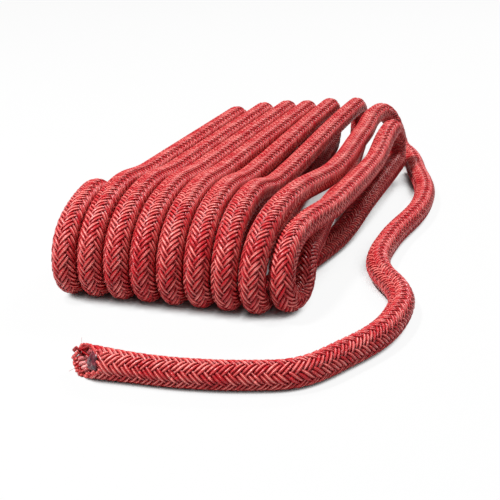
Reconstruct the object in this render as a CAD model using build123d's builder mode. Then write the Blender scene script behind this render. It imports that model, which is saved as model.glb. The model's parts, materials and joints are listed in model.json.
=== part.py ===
"""Coiled dock line: double-braid rope, hanked in nine flat turns, with a free tail on the floor.

Frame: millimetres, +Z up, floor at Z = 0. The turns run along Y (front bights towards -Y) and
stand side by side along X. The origin is the middle of the floor area that the line covers.
Each moving stretch of rope is a braided cover (a tube) around a braided core (a rod).
"""
from build123d import *
from math import cos, radians, sin, sqrt
import os

# Rope
ROPE_D = 12.7            # nominal 1/2 inch line
ROPE_R = ROPE_D / 2
COVER_WALL = 2.1         # thickness of the braided cover
BORE_R = ROPE_R - COVER_WALL
CORE_R = BORE_R - 0.2    # the core stands just clear of the cover

# Lay of the hank. Lanes count from 1 on the left; positions are from the hank's own datum.
DATUM = Vector(-22.099, -1.970, 0)        # hank datum in the frame
LANE = 13.0                            # step between front bights
FRONT_X1 = -44.4                       # first front bight
FRONT_Y1 = -122.0
FRONT_SET_BACK = 1.2                   # each bight stands this much further back
BACK_X = [-60.5, -50.0, -36.7, -23.5, -10.4, 2.7, 20.1]    # hand-laid back bights
BACK_Y = [104, 134, 152, 163, 168, 180, 188]
FLOOR_Z = ROPE_R                       # centre of a rope that lies on the floor
FRONT_APEX_Z = 18.5                    # foremost point of a front bight
SHOULDER_Z = 43.0                      # centre of the top run behind its front bight
SHOULDER_BACK = 42.0                   # distance from the front bight to that shoulder
RUN_Z = [22, 35, 35, 35, 35, 32, 29]   # centre of each top run where it has settled
RUN_SHARE = 0.40                       # place of that station between front and back
RUN_LEAN = 9.5                         # it lies this far left of the straight line
BACK_TOP_Z = 35.0                      # centre of the top run before its back bight
FRONT_STEP = 13.0                      # the bottom run meets its front bight this far back
FIRST_SHOULDER_Z = 40.5                # the first lane is lower: it sinks under the second
HIDDEN_RUN = 165.0                     # length of the bottom run that hides the rope's end
SHOULDER_RISE = 0.02                   # slope of the rope at that shoulder
RUN_FALL = 0.04                        # slope of the top run where it has settled

# Joints
TWIST_GAP = 0.1          # rope ends either side of a twisting joint stand back this much
CUP_GAP = 0.12           # clearance of the ball-shaped rope ends at a bending joint
CORE_LEAD = 4.0          # the core reaches this far back into that joint
CORE_CLEAR = 5.0         # radius left free of core around a twisting joint

# Cut ends
SEAL_R = ROPE_R - 0.25
SEAL_LENGTH = 3.0        # fused nylon at a hot-cut end
SEAL_EDGE = 0.6
SEAL_GAP = 0.05
END_STRAIGHT = 32.0      # straight stretch from the last joint to the middle of the cut face
CUT_SLANT = 54           # degrees between the cut face and a square cut
CUT_RISE = 29.5          # the cut face looks to the side, and up by this many degrees

DOWN = Vector(0, 0, -1)
UP = Vector(0, 0, 1)
REACH = 0.39             # handle length of a smooth stretch, as a share of its span
STRAIGHT = 0.001         # a stretch that leaves the chord by less than this is straight


def flat(x, y):
    """Level unit direction."""
    return Vector(x, y, 0).normalized()


def at(x, y, z=FLOOR_Z):
    """Point given from the hank's datum."""
    return DATUM + Vector(x, y, z)


def front_spot(lane):
    """Plan position of a regular front bight."""
    return FRONT_X1 + LANE * (lane - 1), FRONT_Y1 + FRONT_SET_BACK * (lane - 1)


def back_spot(lane):
    """Plan position of a regular back bight."""
    return BACK_X[lane - 1], BACK_Y[lane - 1]


def run_spot(lane):
    """Plan position of the top run where it has settled on the hank."""
    fx, fy = front_spot(lane)
    bx, by = back_spot(lane)
    return fx + (bx - fx) * RUN_SHARE - RUN_LEAN, fy + (by - fy) * RUN_SHARE


def heading(start, end):
    """Level direction from one plan position to another."""
    return flat(end[0] - start[0], end[1] - start[1])


def bottom_heading(lane):
    """Direction of the bottom run between a back bight and the next lane's front bight."""
    return heading(front_spot(lane + 1), back_spot(lane))


def front_bight(spot, entry, leave, shoulder_z=SHOULDER_Z):
    """Stations from the bottom run, round a front bight, to the top run."""
    shoulder = at(*spot, shoulder_z) + leave * SHOULDER_BACK
    return [
        (at(*spot) + entry * FRONT_STEP, -entry),
        (at(*spot, FRONT_APEX_Z), UP),
        (shoulder, (leave + UP * SHOULDER_RISE).normalized()),
    ]


def back_top(lane):
    """Centre height of the top run where it meets its back bight."""
    return RUN_Z[0] if lane == 1 else BACK_TOP_Z


def back_radius(lane):
    return (back_top(lane) - FLOOR_Z) / 2


def back_apex(lane):
    """Joint station at the rear of a back bight, where the rope points straight down."""
    return (at(*back_spot(lane), FLOOR_Z + back_radius(lane)), DOWN)


def top_stretch(lane):
    """Stations of the top run, from where it has settled to the rear of its back bight."""
    front, run, back = front_spot(lane), run_spot(lane), back_spot(lane)
    slope = (heading(front, back) + DOWN * RUN_FALL).normalized()
    rear = heading(run, back)
    return [
        (at(*run, RUN_Z[lane - 1]), slope),
        (at(*back, back_top(lane)) - rear * back_radius(lane), rear),
        back_apex(lane),
    ]


def back_foot(lane, along):
    """Station where the rope leaves a back bight along the floor."""
    return (at(*back_spot(lane)) - along * back_radius(lane), -along)


def first_turn():
    """From the hidden end to the first back bight; its top run lies under the second one."""
    entry = bottom_heading(1)
    spot = front_spot(1)
    start = at(*spot) + entry * HIDDEN_RUN
    bight = front_bight(spot, entry, heading(spot, run_spot(1)), FIRST_SHOULDER_Z)
    return [(start, -entry)] + bight + top_stretch(1)


def regular_turn(lane):
    entry = bottom_heading(lane - 1)
    spot = front_spot(lane)
    bight = front_bight(spot, entry, heading(spot, run_spot(lane)))
    return [back_apex(lane - 1), back_foot(lane - 1, entry)] + bight + top_stretch(lane)


def loose_turn():
    """The turn that stands apart on the right: it crosses over the last bottom run."""
    return [
        back_apex(7),
        back_foot(7, flat(-18, 120)),
        (at(46.5, 22, 15.5), Vector(0.1, -1, 0.12).normalized()),
        (at(56.0, -47, 19.5), flat(0.14, -1)),
        (at(61.5, -84, 15.0), Vector(0.15, -0.75, -0.6).normalized()),
        (at(61.0, -97, 7.7), flat(-0.2, -1)),
        (at(58.8, -107.5, 17), (UP + Vector(-0.1, 0, 0)).normalized()),
        (at(57.3, -83, 34.2), (flat(-0.02, 1) + UP * 0.02).normalized()),
        (at(61.2, -25, 31.8), flat(0.03, 1)),
        (at(60.0, 60, 28.5), flat(-0.02, 1)),
        (at(58.2, 117.5, 35.5), flat(0.03, 1)),
        OUTER_APEX,
    ]


def last_turn():
    """The turn inside the loose one; its top run drops behind the hank and becomes the tail."""
    spot = front_spot(8)
    return [
        OUTER_APEX,
        (at(61.8, 118.5, 13.6), flat(0.02, -1)),
        (at(61.5, 42, 12.6), Vector(-0.03, -1, -0.05).normalized()),
        (at(57.5, -16), flat(-0.12, -1)),
        *front_bight(spot, flat(0, 1), flat(0, 1)),
        (at(47.5, 30, 34.5), flat(-0.02, 1)),
        (at(41.0, 110, 32.5), flat(-0.04, 1)),
        (at(39.5, 162, 35.0), flat(0.15, 1)),
        (at(46.5, 177, 25.0), Vector(0.45, 0.1, -0.9).normalized()),
        (at(58.0, 165, 8.5), Vector(0.6, -0.75, -0.08).normalized()),
        TAIL_ROOT,
    ]


OUTER_APEX = (at(60.0, 128.5, 24.5), DOWN)
TAIL_ROOT = (at(77.5, 119), flat(0.36, -0.94))

# Tail stations, from the hank to the cut end. The rope bends at each one.
END_DIRECTION = flat(-1, -0.12)
END_POINT = at(-0.3, -185.2)
END_SIDE = Vector(-END_DIRECTION.Y, END_DIRECTION.X, 0)
CUT_SIDE = END_SIDE * cos(radians(CUT_RISE)) + UP * sin(radians(CUT_RISE))
CUT_NORMAL = END_DIRECTION * cos(radians(CUT_SLANT)) + CUT_SIDE * sin(radians(CUT_SLANT))
TAIL = [
    TAIL_ROOT,
    (at(90.4, 60), flat(0.04, -1)),
    (at(85.6, -4), flat(-0.02, -1)),
    (at(98.0, -60), flat(0.60, -0.80)),
    (at(109.8, -94), flat(0.0, -1)),
    (at(98.6, -139), flat(-0.45, -0.89)),
    (at(74.6, -169.5), flat(-0.93, -0.37)),
    (at(46.0, -178.8), flat(-0.97, -0.22)),
    (END_POINT - END_DIRECTION * END_STRAIGHT, END_DIRECTION),
]


def centre_line(stations):
    """Edges through the stations, added to the active line builder."""
    for (start, start_dir), (end, end_dir) in zip(stations, stations[1:]):
        span = end - start
        bend = start_dir.cross(span).length + end_dir.cross(span).length
        if bend < STRAIGHT:
            Line(start, end)
        else:
            reach = span.length * REACH
            Bezier(start, start + start_dir * reach, end - end_dir * reach, end)


def set_back(stations, start_gap, end_gap):
    """The same stretch with its two end stations moved inwards along the rope."""
    (start, start_dir), (end, end_dir) = stations[0], stations[-1]
    return [(start + start_dir * start_gap, start_dir), *stations[1:-1], (end - end_dir * end_gap, end_dir)]


def rope_piece(name, stations, outer, inner=0.0, lead_in=0.0, ball_start=False, hollows=()):
    """One stretch of cover or core, written to its own file; hollows are balls cut out of it."""
    start, start_dir = stations[0]
    with BuildPart() as piece:
        with BuildLine() as centre:
            if lead_in:
                Line(start - start_dir * lead_in, start)
            centre_line(stations)
        with BuildSketch(Plane(start - start_dir * lead_in, z_dir=start_dir)):
            Circle(outer)
            if inner:
                Circle(inner, mode=Mode.SUBTRACT)
        sweep(path=centre.wires()[0])
        if ball_start:
            ball_cap(start, start_dir, outer, inner)
        for point, radius in hollows:
            with Locations(point):
                Sphere(radius, mode=Mode.SUBTRACT)
    write(piece.part, name)


def ball_cap(centre, direction, outer, inner):
    """A ring cut from a ball of the cover's own radius, which continues the cover backwards."""
    side = Plane(centre, z_dir=direction).x_dir
    half = Plane(centre, x_dir=side, z_dir=side.cross(direction))
    depth = -sqrt(outer**2 - inner**2)
    with BuildSketch(half) as profile:
        with BuildLine():
            Line((inner, 0), (outer, 0))
            RadiusArc((outer, 0), (inner, depth), -outer)
            Line((inner, depth), (inner, 0))
        make_face()
    revolve(profile.sketch, axis=Axis(centre, direction))


def write(part, name):
    part.label = name
    export_step(part, f"parts/{name}.step")


def cup(stations):
    """The hollow at the end of a stretch that takes the next one's ball."""
    return stations[-1][0], ROPE_R + CUP_GAP


def turn_pair(name, stations):
    """Cover and core of one turn of the hank, between two twisting joints."""
    rope_piece(f"cover_{name}", stations, ROPE_R, BORE_R)
    clear = [(stations[0][0], CORE_CLEAR), (stations[-1][0], CORE_CLEAR)]
    rope_piece(f"core_{name}", stations, CORE_R, hollows=clear)


def first_pair(name, stations):
    """Cover and core of the turn that starts at the hidden end."""
    rope_piece(f"cover_{name}", stations, ROPE_R, BORE_R)
    rope_piece(f"core_{name}", stations, CORE_R, hollows=[(stations[-1][0], CORE_CLEAR)])


def last_pair(name, stations):
    """Cover and core of the turn that ends at the tail's first bending joint."""
    rope_piece(f"cover_{name}", stations, ROPE_R, BORE_R, hollows=[cup(stations)])
    clear = [(stations[0][0], CORE_CLEAR), cup(stations)]
    rope_piece(f"core_{name}", stations, CORE_R, hollows=clear)


def tail_pair(name, stations):
    """Cover and core of one link of the tail."""
    hollows = [cup(stations)]
    rope_piece(f"cover_{name}", stations, ROPE_R, BORE_R, ball_start=True, hollows=hollows)
    rope_piece(f"core_{name}", stations, CORE_R, lead_in=CORE_LEAD, hollows=hollows)


def square_seal(name, face, outward):
    """The fused disc at a square cut; face is where the rope's own end stands."""
    with BuildPart() as seal:
        with BuildSketch(Plane(face + outward * SEAL_GAP, z_dir=outward)):
            Circle(SEAL_R)
        extrude(amount=SEAL_LENGTH)
        rim = seal.edges().sort_by(Axis(face, outward))[-1]
        fillet(rim, SEAL_EDGE)
    write(seal.part, name)


def cut_plane(depth):
    """The slanting cut, moved back along the rope by a depth."""
    return Plane(END_POINT - END_DIRECTION * depth, z_dir=CUT_NORMAL)


def tail_end():
    """Straight stretch behind the tail's slanting cut, which a cleat or clip can take."""
    start = END_POINT - END_DIRECTION * END_STRAIGHT
    beyond = END_STRAIGHT + ROPE_D
    with BuildPart() as cover:
        with BuildSketch(Plane(start, z_dir=END_DIRECTION)):
            Circle(ROPE_R)
            Circle(BORE_R, mode=Mode.SUBTRACT)
        extrude(amount=beyond)
        ball_cap(start, END_DIRECTION, ROPE_R, BORE_R)
        split(bisect_by=cut_plane(SEAL_LENGTH + SEAL_GAP), keep=Keep.BOTTOM)
    write(cover.part, f"cover_tail_{len(TAIL)}")
    with BuildPart() as core:
        with BuildSketch(Plane(start - END_DIRECTION * CORE_LEAD, z_dir=END_DIRECTION)):
            Circle(CORE_R)
        extrude(amount=CORE_LEAD + beyond)
        split(bisect_by=cut_plane(SEAL_LENGTH + SEAL_GAP), keep=Keep.BOTTOM)
    write(core.part, f"core_tail_{len(TAIL)}")
    with BuildPart() as seal:
        with BuildSketch(Plane(start, z_dir=END_DIRECTION)):
            Circle(SEAL_R)
        extrude(amount=beyond)
        split(bisect_by=cut_plane(0), keep=Keep.BOTTOM)
        split(bisect_by=cut_plane(SEAL_LENGTH), keep=Keep.TOP)
    write(seal.part, "tail_end_seal")


def main():
    os.makedirs("parts", exist_ok=True)
    first, last = first_turn(), last_turn()
    first_pair("turn_1", set_back(first, 0, TWIST_GAP))
    between = [*[regular_turn(k) for k in range(2, 8)], loose_turn()]
    for number, stations in enumerate(between, start=2):
        turn_pair(f"turn_{number}", set_back(stations, TWIST_GAP, TWIST_GAP))
    last_pair("turn_9", set_back(last, TWIST_GAP, 0))
    for number, link in enumerate(zip(TAIL, TAIL[1:]), start=1):
        tail_pair(f"tail_{number}", link)
    tail_end()
    hidden_end, hidden_dir = first[0]
    square_seal("hidden_end_seal", hidden_end, -hidden_dir)


main()
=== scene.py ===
"""Coiled dock line: plaited cover, core and cut ends built yarn by yarn round the CAD centre line.

Lengths in this script are millimetres; they become metres when a mesh is made.
"""
import json
import math
import bpy
import numpy as np
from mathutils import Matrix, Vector

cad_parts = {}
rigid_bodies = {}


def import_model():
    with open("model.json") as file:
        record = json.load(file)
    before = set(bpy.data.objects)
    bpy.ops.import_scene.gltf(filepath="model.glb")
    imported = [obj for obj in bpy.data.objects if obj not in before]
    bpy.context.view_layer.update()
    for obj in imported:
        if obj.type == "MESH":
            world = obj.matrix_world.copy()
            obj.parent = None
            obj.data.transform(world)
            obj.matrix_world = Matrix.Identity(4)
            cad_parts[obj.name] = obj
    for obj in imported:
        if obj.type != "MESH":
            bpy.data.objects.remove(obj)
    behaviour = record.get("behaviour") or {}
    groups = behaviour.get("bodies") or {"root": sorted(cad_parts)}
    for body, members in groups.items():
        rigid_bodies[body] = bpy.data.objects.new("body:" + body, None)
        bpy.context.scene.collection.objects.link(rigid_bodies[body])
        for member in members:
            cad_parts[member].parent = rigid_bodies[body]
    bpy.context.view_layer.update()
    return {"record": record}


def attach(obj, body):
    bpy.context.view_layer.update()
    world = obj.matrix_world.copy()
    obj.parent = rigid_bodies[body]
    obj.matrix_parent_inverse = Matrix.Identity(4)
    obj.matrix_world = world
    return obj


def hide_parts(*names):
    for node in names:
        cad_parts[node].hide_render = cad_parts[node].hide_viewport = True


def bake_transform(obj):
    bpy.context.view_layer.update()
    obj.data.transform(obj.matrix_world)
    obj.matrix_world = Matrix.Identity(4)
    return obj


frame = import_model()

MM = 0.001
rng = np.random.default_rng(7)

# ---------------------------------------------------------------- rope
ROPE_R = 6.35
LAY = 36.6               # one full turn of a strand round the rope
STRANDS = 8              # strands laid each way, two yarns in each
COLUMNS = 2 * STRANDS    # crossings round the rope
SAMPLES_PER_LAY = 40
STEP = LAY / SAMPLES_PER_LAY
YARN_SHARE = 0.25        # a yarn's offset from its strand's middle, in strand steps
MID_R = 5.22             # radius that the cover's yarns weave about
WEAVE = 0.52             # how far a yarn rises over and dips under
YARN_HALF_WIDTH = 0.76
YARN_HALF_THICK = 0.62
FLOAT_ROUNDNESS = 1.25   # how flat the middle of a float is
SECTION = [15, 60, 120, 165, 218, 322]    # section points, in degrees; the top is rounder

# ---------------------------------------------------------------- lay of the hank (as the CAD's)
LANE = 13.0
FRONT_X1 = -44.4
FRONT_Y1 = -122.0
FRONT_SET_BACK = 1.2
FRONT_APEX_Z = 18.5
FRONT_STEP = 13.0
SHOULDER_Z = 43.0
FIRST_SHOULDER_Z = 40.5
SHOULDER_BACK = 42.0
SHOULDER_RISE = 0.02
RUN_Z = [22, 35, 35, 35, 35, 32, 29]
RUN_SHARE = 0.40
RUN_LEAN = 9.5
RUN_FALL = 0.04
BACK_TOP_Z = 35.0
HIDDEN_RUN = 165.0
REACH = 0.39
END_STRAIGHT = 32.0
CUT_SLANT = math.radians(54)
CUT_RISE = math.radians(29.5)
UP = np.array([0.0, 0.0, 1.0])
CENTRE_STEP = 0.25       # spacing of the points that stand for the centre line
SAME_POINT = 1e-6
SMOOTHING = 4


def unit(*v):
    v = np.array(v, float)
    return v / np.linalg.norm(v)


def flat(x, y):
    return unit(x, y, 0.0)


JOINTS = {j["child"]: j for j in frame["record"]["behaviour"]["joints"]}


def joint_spot(child):
    """Position of the joint that carries a body, in millimetres."""
    return np.array(JOINTS[child]["pos_m"]) / MM


FIRST_BACK_FROM_DATUM = np.array([-60.5, 104.0, 14.175])
DATUM = joint_spot("turn_2") - FIRST_BACK_FROM_DATUM


def at(x, y, z=ROPE_R):
    """Point given from the hank's datum."""
    return DATUM + np.array([x, y, z], float)


def front_spot(lane):
    return FRONT_X1 + LANE * (lane - 1), FRONT_Y1 + FRONT_SET_BACK * (lane - 1)


def back_spot(lane):
    """Plan position of a back bight, from the datum: the joint of the next turn stands there."""
    spot = joint_spot(f"turn_{lane + 1}") - DATUM
    return spot[0], spot[1]


def run_spot(lane):
    fx, fy = front_spot(lane)
    bx, by = back_spot(lane)
    return fx + (bx - fx) * RUN_SHARE - RUN_LEAN, fy + (by - fy) * RUN_SHARE


def heading(start, end):
    return flat(end[0] - start[0], end[1] - start[1])


def bottom_heading(lane):
    return heading(front_spot(lane + 1), back_spot(lane))


def front_bight(spot, entry, leave, shoulder_z=SHOULDER_Z):
    """Stations from the bottom run, round a front bight, to the top run."""
    return [
        (at(*spot) + entry * FRONT_STEP, -entry),
        (at(*spot, FRONT_APEX_Z), UP),
        (at(*spot, shoulder_z) + leave * SHOULDER_BACK, unit(*(leave + UP * SHOULDER_RISE))),
    ]


def back_top(lane):
    return RUN_Z[0] if lane == 1 else BACK_TOP_Z


def back_radius(lane):
    return (back_top(lane) - ROPE_R) / 2


def back_apex(lane):
    return (joint_spot(f"turn_{lane + 1}"), -UP)


def top_stretch(lane):
    """Stations of the top run, from where it has settled to the rear of its back bight."""
    front, run, back = front_spot(lane), run_spot(lane), back_spot(lane)
    rear = heading(run, back)
    return [
        (at(*run, RUN_Z[lane - 1]), unit(*(heading(front, back) - UP * RUN_FALL))),
        (at(*back, back_top(lane)) - rear * back_radius(lane), rear),
        back_apex(lane),
    ]


def back_foot(lane, along):
    return (at(*back_spot(lane)) - along * back_radius(lane), -along)


def first_turn():
    entry = bottom_heading(1)
    spot = front_spot(1)
    bight = front_bight(spot, entry, heading(spot, run_spot(1)), FIRST_SHOULDER_Z)
    return [(at(*spot) + entry * HIDDEN_RUN, -entry)] + bight + top_stretch(1)


def regular_turn(lane):
    entry = bottom_heading(lane - 1)
    spot = front_spot(lane)
    bight = front_bight(spot, entry, heading(spot, run_spot(lane)))
    return [back_apex(lane - 1), back_foot(lane - 1, entry)] + bight + top_stretch(lane)


def loose_turn():
    """The turn that stands apart on the right: it crosses over the last bottom run."""
    return [
        back_apex(7),
        back_foot(7, flat(-18, 120)),
        (at(46.5, 22, 15.5), unit(0.1, -1, 0.12)),
        (at(56.0, -47, 19.5), flat(0.14, -1)),
        (at(61.5, -84, 15.0), unit(0.15, -0.75, -0.6)),
        (at(61.0, -97, 7.7), flat(-0.2, -1)),
        (at(58.8, -107.5, 17), unit(-0.1, 0, 1)),
        (at(57.3, -83, 34.2), unit(*(flat(-0.02, 1) + UP * 0.02))),
        (at(61.2, -25, 31.8), flat(0.03, 1)),
        (at(60.0, 60, 28.5), flat(-0.02, 1)),
        (at(58.2, 117.5, 35.5), flat(0.03, 1)),
        (joint_spot("turn_9"), -UP),
    ]


def last_turn():
    """The turn inside the loose one; its top run drops behind the hank and becomes the tail."""
    return [
        (joint_spot("turn_9"), -UP),
        (at(61.8, 118.5, 13.6), flat(0.02, -1)),
        (at(61.5, 42, 12.6), unit(-0.03, -1, -0.05)),
        (at(57.5, -16), flat(-0.12, -1)),
        *front_bight(front_spot(8), flat(0, 1), flat(0, 1)),
        (at(47.5, 30, 34.5), flat(-0.02, 1)),
        (at(41.0, 110, 32.5), flat(-0.04, 1)),
        (at(39.5, 162, 35.0), flat(0.15, 1)),
        (at(46.5, 177, 25.0), unit(0.45, 0.1, -0.9)),
        (at(58.0, 165, 8.5), unit(0.6, -0.75, -0.08)),
        (joint_spot("tail_1"), TAIL_HEADINGS[0]),
    ]


TAIL_HEADINGS = [
    flat(0.36, -0.94),
    flat(0.04, -1),
    flat(-0.02, -1),
    flat(0.60, -0.80),
    flat(0.0, -1),
    flat(-0.45, -0.89),
    flat(-0.93, -0.37),
    flat(-0.97, -0.22),
    flat(-1, -0.12),
]
TAILS = len(TAIL_HEADINGS)


def tail_link(number):
    start = (joint_spot(f"tail_{number}"), TAIL_HEADINGS[number - 1])
    if number == TAILS:
        return [start, (start[0] + start[1] * END_STRAIGHT, start[1])]
    return [start, (joint_spot(f"tail_{number + 1}"), TAIL_HEADINGS[number])]


def body_stations():
    """Stations of every body, along the rope from its hidden end to its cut end."""
    out = {"turn_1": first_turn()}
    for lane in range(2, 8):
        out[f"turn_{lane}"] = regular_turn(lane)
    out["turn_8"] = loose_turn()
    out["turn_9"] = last_turn()
    for number in range(1, TAILS + 1):
        out[f"tail_{number}"] = tail_link(number)
    return out


def stretch(a, b, count=160):
    """Points of the smooth stretch between two stations."""
    (p0, d0), (p3, d3) = a, b
    reach = np.linalg.norm(p3 - p0) * REACH
    t = np.linspace(0, 1, count)[:, None]
    p1, p2 = p0 + d0 * reach, p3 - d3 * reach
    return (1 - t) ** 3 * p0 + 3 * (1 - t) ** 2 * t * p1 + 3 * (1 - t) * t * t * p2 + t**3 * p3


class Rope:
    """The whole centre line, by distance along it, with a frame that doesn't twist."""

    def __init__(self, stations):
        self.limits = {}
        points, run = [], 0.0
        for body, stops in stations.items():
            line = np.vstack([stretch(a, b) for a, b in zip(stops, stops[1:])])
            steps = np.linalg.norm(np.diff(line, axis=0), axis=1)
            keep = np.r_[True, steps > SAME_POINT]
            line = line[keep]
            length = np.linalg.norm(np.diff(line, axis=0), axis=1).sum()
            self.limits[body] = (run, run + length)
            run += length
            points.append(line if not points else line[1:])
        line = np.vstack(points)
        s = np.r_[0, np.cumsum(np.linalg.norm(np.diff(line, axis=0), axis=1))]
        self.length = s[-1]
        self.s = np.arange(0, self.length, CENTRE_STEP)
        self.p = np.stack([np.interp(self.s, s, line[:, i]) for i in range(3)], axis=1)
        t = np.gradient(self.p, axis=0)
        t = smooth_rows(t, SMOOTHING)
        self.t = t / np.linalg.norm(t, axis=1)[:, None]
        n = np.zeros_like(self.t)
        side = np.cross(self.t[0], UP)
        n[0] = side / np.linalg.norm(side)
        for i in range(1, len(n)):
            v = n[i - 1] - self.t[i] * (n[i - 1] @ self.t[i])
            n[i] = v / np.linalg.norm(v)
        self.n = n
        self.b = np.cross(self.t, n)

    def place(self, s, theta, radius):
        """Points at a distance along the rope, an angle round it and a radius from its centre."""
        inside = np.clip(s, 0, self.s[-1])
        over = (s - inside)[..., None]
        p, t, n, b = [self.look_up(rows, inside) for rows in (self.p, self.t, self.n, self.b)]
        c, d = np.cos(theta)[..., None], np.sin(theta)[..., None]
        return p + over * t + radius[..., None] * (c * n + d * b)

    def look_up(self, rows, s):
        return np.stack([np.interp(s, self.s, rows[:, i]) for i in range(3)], axis=-1)


def smooth_rows(rows, passes):
    for _ in range(passes):
        inner = (rows[:-2] + 2 * rows[1:-1] + rows[2:]) / 4
        rows = np.vstack([rows[:1], inner, rows[-1:]])
    return rows


rope = Rope(body_stations())
END_DIRECTION = TAIL_HEADINGS[-1]
END_POINT = rope.p[-1]
END_SIDE = np.array([-END_DIRECTION[1], END_DIRECTION[0], 0.0])
CUT_SIDE = END_SIDE * math.cos(CUT_RISE) + UP * math.sin(CUT_RISE)
CUT_NORMAL = END_DIRECTION * math.cos(CUT_SLANT) + CUT_SIDE * math.sin(CUT_SLANT)


# ---------------------------------------------------------------- yarns
def weave_height(columns, sense):
    """+1 where a yarn lies over, -1 where it lies under: over two crossings, under two."""
    wave = np.cos(2 * math.pi * (columns - 0.5) / 4)
    return sense * np.tanh(FLOAT_ROUNDNESS * wave) / math.tanh(FLOAT_ROUNDNESS)


YARNS = [
    (sense, strand, share)
    for sense in (1, -1)
    for strand in range(STRANDS)
    for share in (-YARN_SHARE, YARN_SHARE)
]
SIZE_SPREAD = 0.05
TONE_SPREAD = 0.12
FLOAT_SAMPLES = 10       # samples along one float of a yarn
YARN_SIZE = {yarn: 1 + SIZE_SPREAD * rng.standard_normal() for yarn in YARNS}
# Tones differ at random from yarn to yarn and from float to float; they set how much painted highlight
# each float gets.
YARN_TONE = {yarn: rng.uniform(0.35, 0.65) for yarn in YARNS}
FLARE = 0.15             # share by which the rope is thicker at the tail's cut end
FLARE_LENGTH = 28.0
SPLAYED = 9.0            # behind the cut, light reaches between the loosened yarns
SPLAYED_DEPTH = 0.86
FLOATS = int(rope.length / STEP) + 400    # samples in the rope, with some to spare
FLOAT_TONE = rng.normal(0, 1, (len(YARNS), FLOATS // FLOAT_SAMPLES + 2))


def yarn_path(yarn, k):
    """Distance, angle and radius of a yarn at the sample numbers k, with its height in the weave."""
    sense, strand, share = yarn
    s = k * STEP
    theta = 2 * math.pi * ((strand + share) / STRANDS + sense * s / LAY)
    height = weave_height(theta * COLUMNS / (2 * math.pi) - share, sense)
    return s, theta, height


def end_flare(s):
    """The rope spreads towards the tail's cut end, where its yarns have come loose."""
    share = np.clip((s - (rope.length - FLARE_LENGTH)) / FLARE_LENGTH, 0, 1.3)
    return 1 + FLARE * share**1.5


def flare_lift(s):
    """The spread rope still stands on the floor, so its middle rises."""
    return UP * (ROPE_R * (end_flare(s) - 1))[..., None]


def yarn_mesh(yarn, k0, k1):
    """Vertices, per-vertex tone and height, and section angles of one closed yarn between two samples."""
    sense = yarn[0]
    k = np.arange(k0, k1 + 1)
    s, theta, height = yarn_path(yarn, k)
    centre = yarn_centre(s, theta, height)
    trim = rng.normal(-0.3, 0.35)
    kept = ((centre - END_POINT) @ CUT_NORMAL < trim) | (s < rope.length - FLARE_LENGTH)
    k, s, theta, height = k[kept], s[kept], theta[kept], height[kept]
    size = YARN_SIZE[yarn]
    phi = np.radians(SECTION)
    half_w = YARN_HALF_WIDTH * size * (0.95 + 0.05 * height)
    half_t = YARN_HALF_THICK * (1 + 0.06 * (size - 1)) * np.ones_like(height)
    radius = MID_R + WEAVE * height
    slope = math.radians(45)
    ds = -sense * half_w[:, None] * np.cos(phi) * math.sin(slope)
    arc = half_w[:, None] * np.cos(phi) * math.cos(slope)
    rise = half_t[:, None] * np.sin(phi)
    rad = (radius[:, None] + rise) * end_flare(s)[:, None]
    th = theta[:, None] + arc / radius[:, None]
    pts = rope.place(s[:, None] + ds, th, rad) + flare_lift(s)[:, None]
    number = YARNS.index(yarn)
    tone = YARN_TONE[yarn] + TONE_SPREAD * FLOAT_TONE[number][(k // FLOAT_SAMPLES) % FLOAT_TONE.shape[1]]
    # depth runs from 0 deep between the yarns to 1 on a float's crest; the materials paint shade on the
    # low points and highlight on the crests.
    depth = (height[:, None] * WEAVE + rise + WEAVE + YARN_HALF_THICK) / (2 * (WEAVE + YARN_HALF_THICK))
    # Near the cut, the painted shade between the loosened yarns is lifted.
    behind = (END_POINT - pts) @ CUT_NORMAL
    splayed = np.clip(1 - behind / SPLAYED, 0, 1) * (s[:, None] > rope.length - FLARE_LENGTH)
    depth = depth + (SPLAYED_DEPTH - depth) * splayed * (depth < SPLAYED_DEPTH)
    return pts, np.repeat(tone[:, None], len(SECTION), axis=1), depth, phi


def yarn_centre(s, theta, height):
    return rope.place(s, theta, (MID_R + WEAVE * height) * end_flare(s)) + flare_lift(s)


def tube_faces(rings, around, first):
    """Quads of a tube, and the two flat ends, as loops."""
    r = np.arange(rings - 1)[:, None] * around
    a = np.arange(around)[None, :]
    b = (a + 1) % around
    quads = np.stack([r + a, r + b, r + around + b, r + around + a], axis=-1).reshape(-1, 4) + first
    ends = [np.arange(around)[::-1] + first, np.arange(around) + first + (rings - 1) * around]
    return quads, ends


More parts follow.
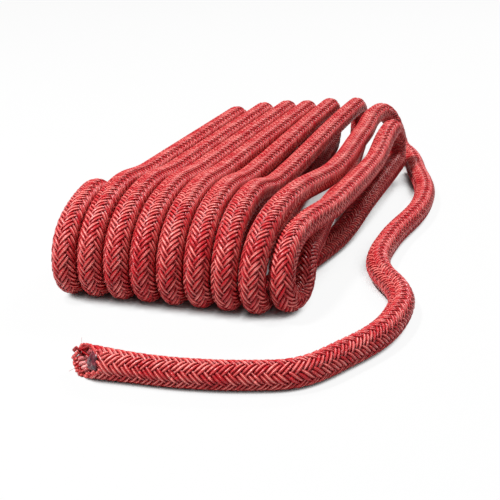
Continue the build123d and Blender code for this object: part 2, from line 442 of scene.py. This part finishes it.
def build_mesh(name, tubes):
    """One mesh object from tubes of (points, tone, depth, section angles), each rings x around."""
    verts, tones, shade_by_depth, us, vs = [], [], [], [], []
    quads, ends, first = [], [], 0
    for pts, tone, depth, phi in tubes:
        rings, around = pts.shape[:2]
        q, e = tube_faces(rings, around, first)
        quads.append(q)
        ends.extend(e)
        verts.append(pts.reshape(-1, 3))
        tones.append(tone.ravel())
        shade_by_depth.append(depth.ravel())
        length = np.r_[0, np.cumsum(np.linalg.norm(np.diff(pts.mean(axis=1), axis=0), axis=1))]
        us.append(np.repeat(length[:, None], around, axis=1).ravel())
        vs.append(np.repeat(np.arange(around)[None, :] / around, rings, axis=0).ravel())
        first += rings * around
    verts = np.vstack(verts) * MM
    quads = np.vstack(quads)
    mesh = bpy.data.meshes.new(name)
    loops = np.concatenate([quads.ravel()] + ends)
    counts = np.concatenate([np.full(len(quads), 4), [len(e) for e in ends]]).astype(np.int32)
    starts = np.concatenate([[0], np.cumsum(counts)[:-1]]).astype(np.int32)
    mesh.vertices.add(len(verts))
    mesh.vertices.foreach_set("co", verts.astype(np.float32).ravel())
    mesh.loops.add(len(loops))
    mesh.loops.foreach_set("vertex_index", loops.astype(np.int32))
    mesh.polygons.add(len(counts))
    mesh.polygons.foreach_set("loop_start", starts)
    smooth = np.r_[np.ones(len(quads), bool), np.zeros(len(ends), bool)]
    mesh.polygons.foreach_set("use_smooth", smooth)
    mesh.update(calc_edges=True)
    for label, values in (("tone", tones), ("depth", shade_by_depth)):
        layer = mesh.attributes.new(label, "FLOAT", "POINT")
        layer.data.foreach_set("value", np.concatenate(values).astype(np.float32))
    spots = (np.concatenate(vs)[loops], np.concatenate(us)[loops])
    uv = mesh.uv_layers.new(name="UVMap")
    uv.data.foreach_set("uv", np.stack(spots, axis=1).astype(np.float32).ravel())
    obj = bpy.data.objects.new(name, mesh)
    bpy.context.collection.objects.link(obj)
    return obj


# ---------------------------------------------------------------- materials
class Shader:
    """Short names for the few node kinds that the materials use."""

    def __init__(self, name):
        self.mat = bpy.data.materials.new(name)
        self.mat.use_nodes = True
        self.nodes, self.links = self.mat.node_tree.nodes, self.mat.node_tree.links
        self.bsdf = self.nodes["Principled BSDF"]

    def add(self, kind, **values):
        node = self.nodes.new("ShaderNode" + kind)
        for key, value in values.items():
            node.inputs[key].default_value = value
        return node

    def attribute(self, label):
        node = self.add("Attribute")
        node.attribute_name = label
        return node.outputs["Fac"]

    def math(self, operation, *values):
        node = self.add("Math")
        node.operation = operation
        for socket, value in zip(node.inputs, values):
            if isinstance(value, (int, float)):
                socket.default_value = value
            else:
                self.links.new(value, socket)
        return node.outputs[0]

    def noise(self, scale, detail):
        node = self.add("TexNoise", Scale=scale, Detail=detail)
        self.links.new(self.add("TexCoord").outputs["Object"], node.inputs["Vector"])
        return node.outputs["Fac"]

    def ramp(self, value, stops):
        node = self.add("ValToRGB")
        elements = node.color_ramp.elements
        while len(elements) < len(stops):
            elements.new(0.5)
        for element, (position, colour) in zip(elements, stops):
            element.position = position
            element.color = (*colour, 1)
        self.links.new(value, node.inputs["Fac"])
        return node.outputs["Color"]

    def blend(self, kind, share, first, second):
        node = self.add("Mix")
        node.data_type = "RGBA"
        node.blend_type = kind
        for socket, value in ((node.inputs[0], share), (node.inputs[6], first), (node.inputs[7], second)):
            if isinstance(value, (int, float)):
                socket.default_value = value
            elif isinstance(value, tuple):
                socket.default_value = (*value, 1)
            else:
                self.links.new(value, socket)
        return node.outputs[2]

    def bump(self, height, strength, distance):
        node = self.add("Bump", Strength=strength, Distance=distance)
        self.links.new(height, node.inputs["Height"])
        self.links.new(node.outputs["Normal"], self.bsdf.inputs["Normal"])

    def wire(self, value, label):
        self.links.new(value, self.bsdf.inputs[label])


RIDGE_AT = 0.23          # where the yarn's crest lies round its section, as a share
RIDGE_WIDTH = 0.032
RIDGE_GLEAM = 1.25       # strength of the painted highlight along the crest
PLIES = 9                # plies seen round one yarn
PLY_TWIST = 1.1          # their lay, in radians per millimetre
GRAIN = 2600.0           # noise scales, per metre
CLOUDS = 75.0
HIGHLIGHT_FROM = 1.2          # tone above which a float's crest gets the painted highlight
HIGHLIGHT_GAIN = 2.4


def crest_highlight_patches(shader, grain, plies):
    """0 to 1: patches of painted highlight on the floats, from noise, ply streaks and each float's random
    tone.
    """
    cloud = shader.noise(CLOUDS, 3.0)
    streak = shader.math("MULTIPLY_ADD", plies, 0.10, grain)
    highlight_patch = shader.math("MULTIPLY_ADD", cloud, 0.8, shader.attribute("tone"))
    over = shader.math("SUBTRACT", shader.math("ADD", highlight_patch, streak), HIGHLIGHT_FROM)
    fade = shader.math("MULTIPLY", over, HIGHLIGHT_GAIN)
    return shader.math("MINIMUM", shader.math("MAXIMUM", fade, 0.0), 1.0)


def crest_gleam(shader, around, grain, highlight_patch):
    """A thin painted highlight along the crest of a yarn, broken up by grain and stronger where the
    highlight patches lie.
    """
    offset = shader.math("DIVIDE", shader.math("SUBTRACT", around, RIDGE_AT), RIDGE_WIDTH)
    square = shader.math("MULTIPLY", offset, offset)
    ridge = shader.math("POWER", math.e, shader.math("MULTIPLY", square, -1.0))
    gleam = shader.math("MULTIPLY_ADD", highlight_patch, 1.3 * RIDGE_GLEAM, 0.25 * RIDGE_GLEAM)
    high = shader.math("MULTIPLY", ridge, shader.attribute("depth"))
    return shader.math("MULTIPLY", high, shader.math("MULTIPLY", grain, gleam))


def yarn_material(name, shade_by_depth, pale, pale_share):
    """Filament nylon, with painted shade that goes near-black between the yarns and a painted highlight
    along the tops of their floats.
    """
    shader = Shader(name)
    # The depth ramp paints shade between the yarns.
    base = shader.ramp(shader.attribute("depth"), shade_by_depth)
    parts = shader.add("SeparateXYZ")
    shader.links.new(shader.add("UVMap").outputs["UV"], parts.inputs["Vector"])
    around, along = parts.outputs["X"], parts.outputs["Y"]
    round_yarn = shader.math("MULTIPLY", around, 2 * math.pi * PLIES)
    plies = shader.math("SINE", shader.math("MULTIPLY_ADD", along, PLY_TWIST, round_yarn))
    grain = shader.noise(GRAIN, 2.0)
    highlight_patch = crest_highlight_patches(shader, grain, plies)
    # The patches of painted highlight are kept to the tops of the floats.
    top = shader.math("POWER", shader.math("MAXIMUM", shader.attribute("depth"), 0.0), 8.0)
    crest_highlight_share = shader.math("MULTIPLY", shader.math("MULTIPLY", highlight_patch, top), pale_share)
    crest = crest_gleam(shader, around, grain, highlight_patch)
    share = shader.math("MINIMUM", shader.math("ADD", crest_highlight_share, crest), 1.0)
    shader.wire(shader.blend("MIX", share, base, pale), "Base Color")
    shader.bump(shader.math("MULTIPLY_ADD", plies, 0.35, grain), 0.4, 0.0002)
    shader.wire(shader.math("MULTIPLY_ADD", grain, 0.22, 0.22), "Roughness")
    shader.bsdf.inputs["Specular IOR Level"].default_value = 0.30
    shader.bsdf.inputs["Sheen Weight"].default_value = 0.02
    shader.bsdf.inputs["Sheen Tint"].default_value = (1.0, 0.55, 0.52, 1)
    shader.bsdf.inputs["Sheen Roughness"].default_value = 0.4
    return shader.mat


def core_shade_material():
    """The core inside the cover, coloured near-black as painted shade where it shows between the yarns.
    """
    shader = Shader("core_painted_shade")
    shades = [(0.3, (0.012, 0.001, 0.002)), (0.7, (0.05, 0.003, 0.005))]
    shader.wire(shader.ramp(shader.noise(500.0, 2.0), shades), "Base Color")
    shader.bsdf.inputs["Roughness"].default_value = 0.8
    return shader.mat


def fused_material():
    """Nylon that melted at the cut and set: dark, brownish, uneven and glossy."""
    shader = Shader("fused_nylon_looks")
    lumps = shader.noise(420.0, 4.0)
    shades = [(0.35, (0.035, 0.006, 0.012)), (0.55, (0.13, 0.014, 0.026)), (0.75, (0.36, 0.07, 0.08))]
    shader.wire(shader.ramp(lumps, shades), "Base Color")
    shader.bump(lumps, 0.5, 0.0008)
    shader.bsdf.inputs["Roughness"].default_value = 0.32
    shader.bsdf.inputs["Coat Weight"].default_value = 0.3
    return shader.mat


# Cover: the depth ramp runs from painted shade, near-black between the yarns, to the yarn's own crimson
# on the crests; then the painted highlight colour and its share.
COVER = yarn_material(
    "cover_yarn",
    [
        (0.22, (0.004, 0.0002, 0.0006)),
        (0.45, (0.06, 0.0006, 0.002)),
        (0.70, (0.26, 0.0015, 0.006)),
        (0.97, (0.50, 0.003, 0.012)),
    ],
    (1.0, 0.36, 0.31),
    0.36,
)
# Core strands: a ramp from dark to pale pink that each strand reads at its random depth; then the painted
# highlight colour and its share.
CORE = yarn_material(
    "core_yarn",
    [(0.0, (0.10, 0.01, 0.015)), (0.5, (0.50, 0.09, 0.10)), (1.0, (0.85, 0.36, 0.34))],
    (0.95, 0.62, 0.60),
    0.5,
)
CORE_PAINTED_SHADE = core_shade_material()
FUSED = fused_material()


# ---------------------------------------------------------------- pieces
BEND_HALF = 6.5          # half the length of the stretch of rope across a joint
TWIST_HALF = 6.0
WAYS = ((1, "right"), (-1, "left"))
CUT_REACH = 14.0         # the slanting cut runs this far past the middle of the rope's end
BODIES = list(rope.limits)


def sample(s):
    return int(round(s / STEP))


def joint_half(child):
    return TWIST_HALF if child.startswith("turn") else BEND_HALF


def family_tubes(sense, k0, k1):
    return [yarn_mesh(yarn, k0, k1) for yarn in YARNS if yarn[0] == sense]


def yarns_between(name, sense, start, end):
    """One mesh of the yarns laid one way, between two distances along the rope."""
    piece = build_mesh(name, family_tubes(sense, sample(start), sample(end)))
    piece.data.materials.append(COVER)
    return piece


def rigid_yarns(body, start, end):
    for sense, way in WAYS:
        piece = yarns_between(f"yarns_{way}_{body}", sense, start, end)
        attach(piece, body)
        if sense == 1:
            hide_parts(f"cover_{body}")


def bending_yarns(body, child):
    half = joint_half(child)
    middle = rope.limits[body][1]
    for sense, way in WAYS:
        piece = yarns_between(f"yarns_{way}_bend_{child}", sense, middle - half, middle + half)
        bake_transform(piece)


def cover_pieces():
    """The cover's yarns: rigid stretches on each body, and a separate stretch across each joint."""
    for body, child in zip(BODIES, BODIES[1:] + [None]):
        start, end = rope.limits[body]
        if body != BODIES[0]:
            start += joint_half(body)
        rigid_yarns(body, start, end - joint_half(child) if child else end + CUT_REACH)
        if child:
            bending_yarns(body, child)


def core_looks():
    """The CAD's cores stay, coloured near-black as painted shade for what little shows of them between
    the yarns.
    """
    for obj in bpy.data.objects:
        if obj.type == "MESH" and obj.name.startswith("core_"):
            for slot in obj.material_slots:
                slot.material = CORE_PAINTED_SHADE


cover_pieces()
core_looks()


# ---------------------------------------------------------------- cut ends
CORE_STRANDS = [(0.0, 1), (1.95, 6), (3.75, 12)]    # radius and count of each ring of core strands
CORE_STRAND_R = 1.0
CORE_TWIST = 2 * math.pi / 70                       # radians per millimetre
ROUND = np.arange(8) * 2 * math.pi / 8


def tube(centres, radii, tone, depth):
    """A round tube along nearly straight centres, in the form that build_mesh takes."""
    along = unit(*(centres[-1] - centres[0]))
    side = unit(*np.cross(along, UP + 0.1 * along[::-1]))
    other = np.cross(along, side)
    ring = np.cos(ROUND)[:, None] * side + np.sin(ROUND)[:, None] * other
    pts = centres[:, None, :] + radii[:, None, None] * ring[None, :, :]
    shape = pts.shape[:2]
    return pts, np.full(shape, tone), np.full(shape, depth), ROUND


def bead(centre, along, radius, length, tone):
    """A small rounded stub, such as the melted tip of a yarn."""
    t = np.linspace(-1, 1, 7)
    return tube(centre + along * (t * length)[:, None], radius * np.sqrt(1.02 - t**2), tone, 0.97)


def core_at_cut():
    """The core's strands in the last link, seen end on in the cut."""
    start, tubes = rope.limits["tail_9"][0], []
    s = np.arange(start, rope.length + CUT_REACH, 0.8)
    for radius, count in CORE_STRANDS:
        for turn in 2 * math.pi * np.arange(count) / count:
            theta = turn + CORE_TWIST * s
            line = rope.place(s, theta, radius * end_flare(s)) + flare_lift(s)
            kept = line[(line - END_POINT) @ CUT_NORMAL < rng.uniform(-1.6, -0.2)]
            size = CORE_STRAND_R * rng.uniform(0.88, 1.06) * np.ones(len(kept))
            size[-1] *= 0.6
            tubes.append(tube(kept, size, rng.uniform(0.3, 0.9), rng.uniform(0.40, 0.85)))
    return tubes


def yarn_ends():
    """Centre and direction of every cover yarn where the slanting cut ends it."""
    first = sample(rope.length - FLARE_LENGTH / 2)
    k = np.arange(first, sample(rope.length + CUT_REACH))
    for yarn in YARNS:
        line = yarn_centre(*yarn_path(yarn, k))
        inside = np.flatnonzero((line - END_POINT) @ CUT_NORMAL < -0.3)
        last = line[inside[-1]]
        yield last, unit(*(last - line[inside[-1] - 1]))


def lumpy_disc(name, centre, normal, long_axis, half_long, half_short, height):
    """A low, uneven cake of melted nylon on a cut face."""
    across = np.cross(normal, long_axis)
    rings, around = 14, 40
    angle = np.arange(around) * 2 * math.pi / around
    edge = 1 + 0.10 * np.sin(3 * angle + 0.7) + 0.07 * np.sin(5 * angle + 2.0) + 0.04 * np.sin(9 * angle)
    share = np.sin(np.linspace(0.0, math.pi, rings))
    level = -np.cos(np.linspace(0.0, math.pi, rings))
    pts = np.zeros((rings, around, 3))
    for i in range(rings):
        reach = max(share[i], 0.02) * edge
        lump = 0.35 * np.sin(2.3 * angle + 4 * share[i]) * np.sin(5 * share[i])
        rise = height * (level[i] + (lump if level[i] > 0 else 0))
        flat_part = np.cos(angle)[:, None] * long_axis * half_long
        flat_part += np.sin(angle)[:, None] * across * half_short
        pts[i] = centre + reach[:, None] * flat_part + np.atleast_1d(rise)[:, None] * normal
    shape = pts.shape[:2]
    return build_mesh(name, [(pts, np.full(shape, 0.5), np.full(shape, 0.8), angle)])


def fibre(root, along, length):
    """One loose filament that curls away from the cut."""
    t = np.linspace(0, 1, 8)
    bow = unit(*rng.normal(size=3)) * length * 0.35
    line = root + along * (t * length)[:, None] + bow * (t**2)[:, None]
    return tube(line, np.full(8, 0.055), 0.8, 0.9)


def dress(piece, material, body, replaced=None):
    piece.data.materials.append(material)
    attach(piece, body)
    if replaced:
        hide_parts(replaced)


def tail_cut():
    long_axis = unit(*(END_DIRECTION - CUT_NORMAL * (END_DIRECTION @ CUT_NORMAL)))
    dress(build_mesh("core_strands_tail_9", core_at_cut()), CORE, "tail_9", "core_tail_9")
    ends = list(yarn_ends())
    tips = [bead(spot, along, rng.uniform(0.62, 0.8), 0.9, rng.uniform(0.6, 1.3)) for spot, along in ends]
    dress(build_mesh("yarn_tips_tail_9", tips), COVER, "tail_9")
    hairs = [
        fibre(spot, unit(*(along + 0.7 * rng.normal(size=3))), rng.uniform(1.5, 3.5))
        for spot, along in ends[::2]
    ]
    dress(build_mesh("loose_fibres_tail_9", hairs), COVER, "tail_9")
    middle = END_POINT + UP * (ROPE_R * FLARE) - long_axis * 5.6 - CUT_NORMAL * 0.5
    patch = lumpy_disc("fused_patch_tail_9", middle, CUT_NORMAL, long_axis, 3.3, 4.2, 1.0)
    dress(patch, FUSED, "tail_9", "tail_end_seal")


def hidden_cut():
    """The rope's other end, under the first turns."""
    normal = -rope.t[0]
    cap = lumpy_disc("fused_cap_turn_1", rope.p[0] + normal * 0.3, normal, rope.n[0], 5.7, 5.7, 1.1)
    dress(cap, FUSED, "turn_1", "hidden_end_seal")


tail_cut()
hidden_cut()


# ---------------------------------------------------------------- studio
FLOOR_GLOW = 0.93
FLOOR_HALF = 4.0
SKY = 0.17
BACKDROP = 1.0


def floor_material():
    """White paper that the camera sees almost without shadow, and that throws little light back."""
    shader = Shader("pale_floor")
    shader.bsdf.inputs["Base Color"].default_value = (0.55, 0.55, 0.55, 1)
    shader.bsdf.inputs["Roughness"].default_value = 0.9
    glow = shader.add("Emission", Strength=1.0)
    mix = shader.add("MixShader")
    open_sky = shader.add("AmbientOcclusion", Distance=0.07).outputs["AO"]
    clear = shader.math("MAXIMUM", shader.math("MULTIPLY_ADD", open_sky, 6.0, -1.0), 0.0)
    clear = shader.math("MINIMUM", clear, 1.0)
    camera_ray = shader.add("LightPath").outputs["Is Camera Ray"]
    seen = shader.math("MULTIPLY", shader.math("MULTIPLY", camera_ray, FLOOR_GLOW), clear)
    shader.links.new(seen, mix.inputs[0])
    shader.links.new(shader.bsdf.outputs[0], mix.inputs[1])
    shader.links.new(glow.outputs[0], mix.inputs[2])
    shader.links.new(mix.outputs[0], shader.nodes["Material Output"].inputs["Surface"])
    return shader.mat


def soft_world():
    """A white backdrop for the camera, and a dimmer sky for everything else."""
    world = bpy.data.worlds.new("studio")
    world.use_nodes = True
    nodes, links = world.node_tree.nodes, world.node_tree.links
    sky = nodes["Background"]
    sky.inputs["Color"].default_value = (1, 1, 1, 1)
    strength = nodes.new("ShaderNodeMapRange")
    strength.inputs["To Min"].default_value = SKY
    strength.inputs["To Max"].default_value = BACKDROP
    links.new(nodes.new("ShaderNodeLightPath").outputs["Is Camera Ray"], strength.inputs["Value"])
    links.new(strength.outputs["Result"], sky.inputs["Strength"])
    return world


def studio():
    floor_mesh = bpy.data.meshes.new("floor")
    half = FLOOR_HALF
    corners = [(-half, -half, 0), (half, -half, 0), (half, half, 0), (-half, half, 0)]
    floor_mesh.from_pydata(corners, [], [(0, 1, 2, 3)])
    floor = bpy.data.objects.new("floor", floor_mesh)
    bpy.context.collection.objects.link(floor)
    floor_mesh.materials.append(floor_material())

    bpy.context.scene.world = soft_world()

    def lamp(name, spot, size, power):
        light = bpy.data.lights.new(name, "AREA")
        light.shape = "DISK"
        light.size = size
        light.energy = power
        obj = bpy.data.objects.new(name, light)
        obj.location = spot
        obj.rotation_euler = Vector([-c for c in spot]).to_track_quat("-Z", "Y").to_euler()
        bpy.context.collection.objects.link(obj)

    lamp("key", (-0.40, -0.35, 1.1), 0.16, 21.0)
    lamp("back", (0.2, 0.9, 0.9), 0.3, 8.0)
    lamp("fill", (0.9, -1.0, 0.6), 0.6, 2.0)


def camera():
    """Where the photograph was taken from, worked back from its perspective."""
    cam = bpy.data.cameras.new("camera")
    cam.sensor_width = 36.0
    cam.lens = 72.0
    obj = bpy.data.objects.new("camera", cam)
    obj.location = (DATUM + np.array([187.4, -503.2, 196.95])) * MM
    obj.rotation_euler = (math.radians(90 - 21.3), 0, math.radians(20))
    bpy.context.collection.objects.link(obj)
    bpy.context.scene.camera = obj


studio()
camera()
bpy.context.scene.view_settings.view_transform = "Standard"
